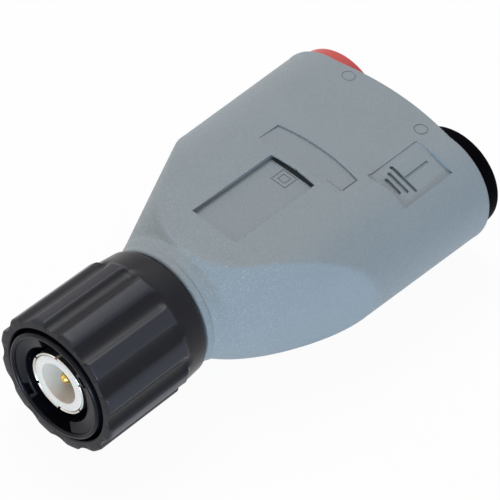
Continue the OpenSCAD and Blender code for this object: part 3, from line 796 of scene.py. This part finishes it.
def collar_seat_cutters():
    """Round seats for the two sockets' collars, open to the rear."""
    tools = []
    depth = REAR_Y + 2 - SEAT_Y
    for side in (-1, 1):
        mesh = bmesh.new()
        bmesh.ops.create_cone(mesh, cap_ends=True, segments=96, radius1=COLLAR_SEAT_R,
                              radius2=COLLAR_SEAT_R, depth=depth)
        tools.append(turned_cutter(mesh, (side * SOCKET_X, SEAT_Y + depth / 2, 0)))
    return tools


def housing_rings():
    """Rings along the housing's outside, round its rear edge and back through its inside."""
    neck_edge = arc((NECK_R - NECK_ROUND, NECK_Y + NECK_ROUND), NECK_ROUND, -90, 0, 3)
    rings = [round_ring(NECK_SPIGOT_R, NOSE_Y), round_ring(NECK_SPIGOT_R, NECK_Y)]
    rings += [round_ring(radius, y) for radius, y in neck_edge]
    rings.append(round_ring(NECK_R, FLARE_Y - 0.1))
    for i in range(FLARE_RINGS + RINGS_PAST_KNEE + 1):
        step = FLARE_L * i / FLARE_RINGS
        fade = max(0.0, 1 - step / GROOVE_L)
        rings.append(housing_ring(FLARE_Y + step, GROOVE_DEPTH * fade ** 2))
    barrel_start = FLARE_Y + FLARE_L * (FLARE_RINGS + RINGS_PAST_KNEE) / FLARE_RINGS
    barrel_end = REAR_Y - REAR_DROP - REAR_MARGIN
    rings += [housing_ring(y, 0) for y in spread(barrel_start, barrel_end, BARREL_RINGS)[1:]]
    rings += [housing_ring(REAR_Y, REAR_ROUND - across, along - REAR_ROUND)
              for across, along in arc((0, 0), REAR_ROUND, 0, 90, 4)]
    rings += [rabbet_ring(), rabbet_ring(PLATE_Y)]
    rings += [housing_ring(y, WALL) for y in spread(PLATE_Y, BULKHEAD_Y, INNER_RINGS)]
    return rings + [round_ring(NECK_BORE_R, BULKHEAD_Y), round_ring(NECK_BORE_R, NOSE_Y)]


def make_housing():
    mesh = bmesh.new()
    extruded_rings(mesh, housing_rings())
    piece = finished("housing", mesh, "housing_grey", "adapter_body", "housing_shell")
    ring_marks = [ring_mark(x, y, depth) for x, y, depth in RING_MARKS]
    cut_away(piece, ring_marks + pocket_cutters() + [arch_cutter(), panel_cutter()]
             + collar_seat_cutters())
    cut_away(piece, earth_sign_cutters() + double_square_cutters() + panel_lines(), sharp_from=28)
    even_shading(piece)


# Coupling
RIB_COUNT = 12
RIB_TURN = math.radians(22)
RIB_L = 12.4
RUN_OUT_Y = RIB_L - 1.8
RIB_FRONT_ROUND = 0.3
RIB_END_ROUND = 0.15
FLUTE_DEPTH = 0.6
FLUTE_R = 2.4
FLUTE_BLEND = 0.12
BAND_FRONT_R = 8.65
BAND_REAR_R = 8.35
BAND_ROUND = 0.45
SKIRT_R = 6.9
SHOULDER_R = 5.05
MOUTH_R = 7.5
MOUTH_DEPTH = 2.4
MOUTH_CHAMFER = 0.12
RING_BORE_R = 6.35
RING_R = 7.05
SLEEVE_POINTS = 360


def flute_radius(angle, y):
    """Distance from the axis to the nearest flute's wall, or a large value where there is none."""
    no_flute = 1e3
    pitch = 2 * math.pi / RIB_COUNT
    off = (angle - RIB_TURN + pitch) % pitch - pitch / 2
    run_out = max(0.0, y - (RIB_L - FLUTE_R / 3))
    if run_out >= FLUTE_R:
        return no_flute
    radius = math.sqrt(FLUTE_R ** 2 - run_out ** 2)
    centre = RIB_R - FLUTE_DEPTH + FLUTE_R
    if abs(centre * math.sin(off)) >= radius:
        return no_flute
    return centre * math.cos(off) - math.sqrt(radius ** 2 - (centre * math.sin(off)) ** 2)


def sleeve_ring(radius, y, ribbed=False):
    points = []
    for i in range(SLEEVE_POINTS):
        angle = 2 * math.pi * i / SLEEVE_POINTS
        reach = smooth_min(radius, flute_radius(angle, y), FLUTE_BLEND) if ribbed else radius
        points.append((reach * math.cos(angle), y, reach * math.sin(angle)))
    return points


def ribbed_profile():
    """The (radius, y) points of the sleeve's outside, from its front edge to the band's rear."""
    band_radii = spread(BAND_FRONT_R, BAND_REAR_R, 6)[1:]
    band_ys = spread(RIB_L + 0.1, SLEEVE_REAR - BAND_ROUND, 6)[1:]
    front = (RIB_R - RIB_FRONT_ROUND, SLEEVE_FRONT + RIB_FRONT_ROUND)
    end = (RIB_R - RIB_END_ROUND, RIB_L - RIB_END_ROUND)
    return (arc(front, RIB_FRONT_ROUND, -90, 0, 3)
            + [(RIB_R, y) for y in spread(0.4, RUN_OUT_Y - 0.2, 6)]
            + [(RIB_R, y) for y in spread(RUN_OUT_Y, RIB_L - RIB_END_ROUND, 14)[1:]]
            + arc(end, RIB_END_ROUND, 0, 90, 3)[1:]
            + [(BAND_FRONT_R + 0.05, RIB_L), (BAND_FRONT_R, RIB_L + 0.06)]
            + list(zip(band_radii, band_ys)))


def make_sleeve():
    shoulder_front = high("thrust_washer").y + CLEARANCE
    shoulder_rear = low("retaining_ring").y - 0.2
    seat_r, seat = RING_R + 0.03, RING_REAR + CLEARANCE
    mouth = [(MOUTH_R, MOUTH_DEPTH), (MOUTH_R, SLEEVE_FRONT + MOUTH_CHAMFER),
             (MOUTH_R + MOUTH_CHAMFER, SLEEVE_FRONT)]
    rear_edge = arc((BAND_REAR_R - BAND_ROUND, SLEEVE_REAR - BAND_ROUND), BAND_ROUND, 0, 90, 6)[1:]
    inside = [(SKIRT_R, SLEEVE_REAR), (SKIRT_R, shoulder_rear), (SHOULDER_R, shoulder_rear),
              (SHOULDER_R, shoulder_front), (RING_BORE_R, shoulder_front), (RING_BORE_R, seat),
              (seat_r, seat), (seat_r, MOUTH_DEPTH)]
    rings = [sleeve_ring(radius, y) for radius, y in mouth]
    rings += [sleeve_ring(radius, y, ribbed=True) for radius, y in ribbed_profile()]
    rings += [sleeve_ring(radius, y) for radius, y in rear_edge + inside]
    mesh = bmesh.new()
    extruded_rings(mesh, rings)
    finished("sleeve", mesh, "sleeve_black", "coupling", "coupling_sleeve")


RING_FRONT = low("bayonet_ring").y
RING_REAR = high("bayonet_ring").y
RIM_R = 0.35
CAM_FRONT = RING_FRONT + RIM_R
CAM_BORE_R = 4.95
CAM_HALF = math.radians(59.5)
CAM_TURN = math.radians(-2.5)
CAM_END_ROUND = math.radians(2)
CAM_REAR_SLOPE = 0.12
CAM_ENTRY_L = 1.5
CAM_CLIMB = 1.3
CAM_TOP_SHARE = 0.62
DETENT_DROP = 0.35
DETENT_SHARE = 0.12
STOP_SHARE = 0.93
STOP_L = 4.0
CAM_LIP = ((0.01, 1.35), (0.18, 0.1), (0.24, 0.02))
CAM_RING_START = 0.3
CAM_RINGS = 36
WINDOW_ANGLES = (37, 52)
WINDOW_REAR = 0.43
WINDOW_MARGIN = 0.3


def cam_reach(angle, y):
    """How far, from 0 to 1, a cam stands in from the ring's bore."""
    off = (angle - CAM_TURN + math.pi / 2) % math.pi - math.pi / 2
    side = clamped((CAM_HALF - abs(off)) / CAM_END_ROUND)
    share = (CAM_HALF - off) / (2 * CAM_HALF)
    length = CAM_ENTRY_L + CAM_CLIMB * clamped(share / CAM_TOP_SHARE)
    length -= DETENT_DROP * clamped((share - CAM_TOP_SHARE) / DETENT_SHARE)
    if share > STOP_SHARE:
        length = STOP_L
    rear = clamped((CAM_FRONT + length - y) / CAM_REAR_SLOPE)
    return side * side * (3 - 2 * side) * rear


def bore_ring(y, mouth=0.0):
    """A ring of the bore: on the cams it stands in, but for the mouth's width."""
    points = []
    for i in range(SLEEVE_POINTS):
        angle = 2 * math.pi * i / SLEEVE_POINTS
        reach = cam_reach(angle, y)
        radius = RING_BORE_R * (1 - reach) + (CAM_BORE_R + mouth) * reach
        points.append((radius * math.cos(angle), y, radius * math.sin(angle)))
    return points


def window_cutter(turn):
    """A blind window moulded into the front of a cam, between two radii."""
    start, end = (math.radians(a + turn) for a in WINDOW_ANGLES)
    inner, outer = CAM_BORE_R + WINDOW_MARGIN, RING_BORE_R - 0.02
    front, rear = CAM_FRONT - WINDOW_MARGIN, WINDOW_REAR
    mesh = bmesh.new()
    corners = [mesh.verts.new((r * math.cos(start), y, r * math.sin(start)))
               for r, y in ((inner, front), (outer, front), (outer, rear), (inner, rear))]
    face = mesh.faces.new(corners)
    bmesh.ops.spin(mesh, geom=[face] + face.edges[:] + corners, cent=(0, 0, 0), axis=(0, -1, 0),
                   angle=end - start, steps=8)
    return cutter(mesh)


def make_bayonet_ring():
    front_edge = arc((RING_R - RIM_R, CAM_FRONT), RIM_R, 0, -180, 10)
    rings = [sleeve_ring(radius, y) for radius, y in [(RING_R, RING_REAR)] + front_edge]
    rings += [bore_ring(CAM_FRONT + behind, mouth) for behind, mouth in CAM_LIP]
    rings += [bore_ring(CAM_FRONT + CAM_RING_START + CAM_REAR_SLOPE * i) for i in range(CAM_RINGS)]
    rings.append(sleeve_ring(RING_BORE_R, RING_REAR))
    mesh = bmesh.new()
    extruded_rings(mesh, rings)
    piece = finished("coupling_ring", mesh, "ring_black", "coupling", "bayonet_ring")
    cut_away(piece, [window_cutter(0), window_cutter(180)])


# Plug front
SHOULDER_Y = low("gasket").y - CLEARANCE
CONTACT_R = 4.05
CONTACT_BORE_R = 3.75
CONTACT_TAIL_R = 3.85
CONTACT_TAIL_BORE_R = 3.5
CONTACT_TAIL_L = 3.12
SLOT_COUNT = 6
SLOT_TURN = 53
SLOT_LOW = (-0.2, -1.0, 2.5)
SLOT_HIGH = (0.2, 5.2, 5.5)
INSULATOR_R = 3.7
INSULATOR_TAIL_R = 3.47
INSULATOR_FRONT = 0.02
INSULATOR_ROUND = 0.1
CAVITY_R = 2.65
CAVITY_ROUND = 0.15
CAVITY_REAR = 6.4
PIN_BORE_R = 0.905


def make_slotted_contact():
    tail_rear = SHOULDER_Y + CONTACT_TAIL_L
    tip = [(CONTACT_BORE_R + 0.02, 0.09), (CONTACT_BORE_R + 0.09, 0), (CONTACT_R - 0.05, 0),
           (CONTACT_R, 0.05)]
    profile = tip + [(CONTACT_R, SHOULDER_Y), (CONTACT_TAIL_R, SHOULDER_Y),
                     (CONTACT_TAIL_R, tail_rear), (CONTACT_TAIL_BORE_R, tail_rear),
                     (CONTACT_TAIL_BORE_R, SHOULDER_Y - 0.3), (CONTACT_BORE_R, SHOULDER_Y - 0.3)]
    mesh = bmesh.new()
    spun(mesh, profile, ROUND_STEPS)
    contact = finished("slotted_contact", mesh, "nickel", "adapter_body", "outer_contact")
    cut_away(contact, [box_cutter(SLOT_LOW, SLOT_HIGH, turn=SLOT_TURN + 360 * i / SLOT_COUNT)
                       for i in range(SLOT_COUNT)])


def make_white_insulator():
    """The insulator inside the contact, with a cavity round the pin."""
    rear, step = high("dielectric").y, SHOULDER_Y - 0.32
    mouth = (CAVITY_R + CAVITY_ROUND, INSULATOR_FRONT + CAVITY_ROUND)
    edge = (INSULATOR_R - INSULATOR_ROUND, INSULATOR_FRONT + INSULATOR_ROUND)
    profile = ([(CAVITY_R, CAVITY_REAR)]
               + arc(mouth, CAVITY_ROUND, 180, 270, 4) + arc(edge, INSULATOR_ROUND, 270, 360, 3)
               + [(INSULATOR_R, step), (INSULATOR_TAIL_R, step), (INSULATOR_TAIL_R, rear),
                  (PIN_BORE_R, rear), (PIN_BORE_R, CAVITY_REAR)])
    mesh = bmesh.new()
    spun(mesh, profile, ROUND_STEPS)
    finished("white_insulator", mesh, "insulator_white", "adapter_body", "dielectric")


SPRING_BORE_R = 5.15
SPRING_HALF_T = 0.11
SPRING_WAVES = 3


def make_wave_spring():
    """The wavy strip behind the flange, which in the real plug flattens as the coupling slides
    forward; here it keeps its waves.
    """
    front, rear = low("wave_spring").y, high("wave_spring").y
    inner, outer, half_t = SPRING_BORE_R, high("wave_spring").x, SPRING_HALF_T
    sway = (rear - front) / 2 - half_t
    mesh = bmesh.new()
    strip = [(inner, -half_t), (inner, half_t), (outer, half_t), (outer, -half_t)]
    spun(mesh, strip, ROUND_STEPS * 3 // 4)
    for vertex in mesh.verts:
        turn = math.atan2(vertex.co.z, vertex.co.x)
        vertex.co.y += (front + rear) / 2 + sway * math.sin(SPRING_WAVES * turn)
    piece = finished("spring_strip", mesh, "spring_steel", "adapter_body", "wave_spring")
    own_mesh(piece)


# Sockets
COLLAR_R = 7.0
COLLAR_ROUND = 0.55
BARREL_R = 5.0
SHROUD_R = 4.2
SHROUD_ROUND = 0.4
POST_R = 3.1
POST_BORE_R = 2.58
POST_ROUND = 0.2
POST_END = COLLAR_END - 0.6
CONTACT_HOLE_R = 1.11


def socket_profile():
    """The collar and its barrel, the gap inside them and the insulated post."""
    barrel = low("socket_body_black").y
    seat = SEAT_Y + CLEARANCE
    return ([(CONTACT_HOLE_R, barrel), (BARREL_R, barrel), (BARREL_R, seat), (COLLAR_R, seat)]
            + arc((COLLAR_R - COLLAR_ROUND, COLLAR_END - COLLAR_ROUND), COLLAR_ROUND, 0, 90, 8)
            + arc((SHROUD_R + SHROUD_ROUND, COLLAR_END - SHROUD_ROUND), SHROUD_ROUND, 90, 180, 6)
            + [(SHROUD_R, barrel + 3), (POST_R, barrel + 3)]
            + arc((POST_R - POST_ROUND, POST_END - POST_ROUND), POST_ROUND, 0, 90, 4)
            + [(POST_BORE_R, POST_END), (POST_BORE_R, barrel + 1), (CONTACT_HOLE_R, barrel + 1)])


def make_sockets():
    for side, tint in ((-1, "red"), (1, "black")):
        mesh = bmesh.new()
        spun(mesh, socket_profile(), ROUND_STEPS, side * SOCKET_X)
        finished("socket_" + tint, mesh, "socket_" + tint, "adapter_body", "socket_body_" + tint)


def paint_nodes():
    """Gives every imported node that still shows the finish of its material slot."""
    for part in frame["record"]["subparts"]:
        node = frame["nodes"][part["node"]]
        node.data.materials.clear()
        node.data.materials.append(MATERIALS[part["material_slot"]])


# Light and floor
LAMP_AIM = Vector((0, 0.03, 0))
FLOOR_HALF_SIZE = 3000
FLOOR_GAP = 0.2


def area_light(name, place, size, power, tint):
    """A lamp that points at the middle of the object; its place and size are in metres."""
    data = bpy.data.lights.new(name, "AREA")
    data.shape = "RECTANGLE"
    data.size, data.size_y = size
    data.energy = power
    data.color = tint
    lamp = bpy.data.objects.new(name, data)
    bpy.context.scene.collection.objects.link(lamp)
    lamp.location = place
    lamp.rotation_mode = "QUATERNION"
    lamp.rotation_quaternion = (LAMP_AIM - Vector(place)).to_track_quat("-Z", "Y")


def make_light():
    """An even room, which the camera, metal and glass see as white, and the lamps."""
    world = bpy.data.worlds.new("studio")
    bpy.context.scene.world = world
    graph = Graph(world)
    warm, pure = colour(1.0, 0.98, 0.96), colour(1, 1, 1)
    room = graph.node("ShaderNodeBackground", None, {"Color": warm, "Strength": 0.38})
    white = graph.node("ShaderNodeBackground", None, {"Color": pure, "Strength": 1.0})
    mixed = graph.node("ShaderNodeMixShader", None, {0: graph.seen(), 1: room, 2: white})
    graph.surface(mixed, "ShaderNodeOutputWorld")
    area_light("top_softbox", (-0.2, 0.14, 0.4), (0.26, 0.26), 1.15, (0.96, 0.98, 1.0))
    area_light("rear_strip", (-0.04, 0.34, 0.44), (0.3, 0.1), 0.1, (0.85, 0.92, 1.0))
    area_light("side_softbox", (0.36, -0.42, 0.025), (0.4, 0.07), 2.95, (0.6, 0.8, 1.0))
    area_light("key_lamp", (0.23, -0.08, 0.44), (0.035, 0.035), 0.05, (1.0, 0.9, 0.7))
    area_light("left_card", (-0.36, -0.4, 0.16), (0.2, 0.2), 0.36, (1.0, 0.9, 0.76))


def make_floor():
    """A pale floor that keeps the object's faint shadow."""
    mesh = bmesh.new()
    floor_z = low("coupling_sleeve").z - FLOOR_GAP
    bmesh.ops.create_grid(mesh, x_segments=2, y_segments=2, size=FLOOR_HALF_SIZE)
    bmesh.ops.translate(mesh, vec=(0, 0, floor_z), verts=mesh.verts)
    floor = mesh_object("floor", mesh)
    graph = material_graph("pale_floor")
    paper = graph.node("ShaderNodeBsdfDiffuse", None, {"Color": colour(0.9, 0.9, 0.9)})
    glow = graph.node("ShaderNodeEmission", None, {"Color": colour(1, 1, 1), "Strength": 1.0})
    mixed = graph.node("ShaderNodeMixShader", None, {0: graph.seen() * 0.95, 1: paper, 2: glow})
    floor.data.materials.append(graph.surface(mixed))


make_camera()
bpy.context.scene.view_settings.view_transform = "Standard"
paint_nodes()
make_housing()
make_sleeve()
make_bayonet_ring()
make_slotted_contact()
make_white_insulator()
make_wave_spring()
make_sockets()
make_light()
make_floor()
